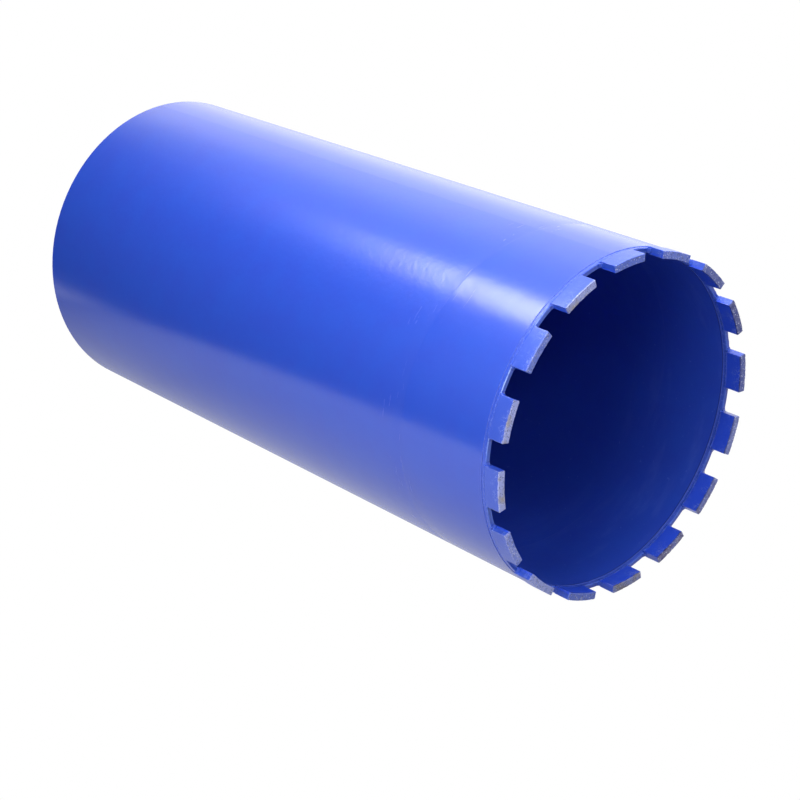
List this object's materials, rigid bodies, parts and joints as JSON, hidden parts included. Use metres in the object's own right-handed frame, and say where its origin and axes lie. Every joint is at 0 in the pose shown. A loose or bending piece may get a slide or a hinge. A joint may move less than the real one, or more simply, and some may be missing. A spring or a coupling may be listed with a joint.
{
  "type": "diamond core bit",
  "caption": "Painted steel core barrel with a crown of diamond segments and water slots at its mouth, and a welded back plate with a threaded hexagonal hub.",
  "frame": {"origin": "centre of the cutting plane, on the barrel's axis, level with the segments' tips", "axes": "+Z along the barrel's axis, from the cutting tips to the hub; +X through the middle of segment 01"},
  "size_m": [0.201, 0.201, 0.45],
  "materials": {
    "blue_paint": "gloss",
    "segment_metal": "satin",
    "braze_filler": "gloss",
    "hub_steel": "gloss"
  },
  "bodies": {
    "root": {"barrel_tube": "blue_paint", "back_plate": "blue_paint", "threaded_hub": "hub_steel", "rim_weld": "blue_paint", "hub_weld": "blue_paint", "segment_01": "segment_metal", "segment_02": "segment_metal", "segment_03": "segment_metal", "segment_04": "segment_metal", "segment_05": "segment_metal", "segment_06": "segment_metal", "segment_07": "segment_metal", "segment_08": "segment_metal", "segment_09": "segment_metal", "segment_10": "segment_metal", "segment_11": "segment_metal", "segment_12": "segment_metal", "segment_13": "segment_metal", "segment_14": "segment_metal", "segment_15": "segment_metal", "segment_16": "segment_metal", "braze_joint_01": "braze_filler", "braze_joint_02": "braze_filler", "braze_joint_03": "braze_filler", "braze_joint_04": "braze_filler", "braze_joint_05": "braze_filler", "braze_joint_06": "braze_filler", "braze_joint_07": "braze_filler", "braze_joint_08": "braze_filler", "braze_joint_09": "braze_filler", "braze_joint_10": "braze_filler", "braze_joint_11": "braze_filler", "braze_joint_12": "braze_filler", "braze_joint_13": "braze_filler", "braze_joint_14": "braze_filler", "braze_joint_15": "braze_filler", "braze_joint_16": "braze_filler"}
  },
  "joints": []
}
